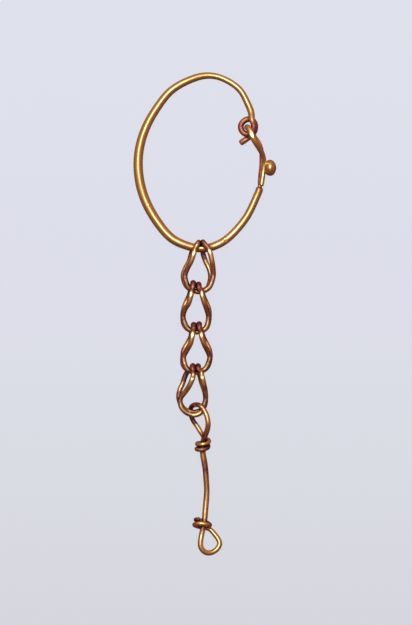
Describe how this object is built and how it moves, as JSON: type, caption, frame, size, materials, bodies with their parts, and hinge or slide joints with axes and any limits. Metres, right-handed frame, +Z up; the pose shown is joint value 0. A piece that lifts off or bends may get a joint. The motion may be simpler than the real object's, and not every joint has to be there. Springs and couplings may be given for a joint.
{
  "type": "chain drop earring",
  "caption": "Chain drop earring of gold wire, lying flat: an oval hoop whose hook closes through a coiled ring, a chain of folded links, and a drop wire with an eye at each end.",
  "frame": {"origin": "on the surface that the earring lies on, below the middle of its box", "axes": "+Y up the earring from the foot of the drop to the crown of the hoop, +X across it towards the hook, +Z up from the surface"},
  "size_m": [0.016, 0.0542, 0.0028],
  "materials": {
    "hoop_gold": "worn polish",
    "chain_gold": "worn, with a reddish patina"
  },
  "bodies": {
    "root": {"ear_hoop": "hoop_gold", "link_1": "chain_gold", "link_2": "chain_gold", "link_3": "chain_gold", "link_4": "chain_gold", "drop_wire": "chain_gold"}
  },
  "joints": []
}
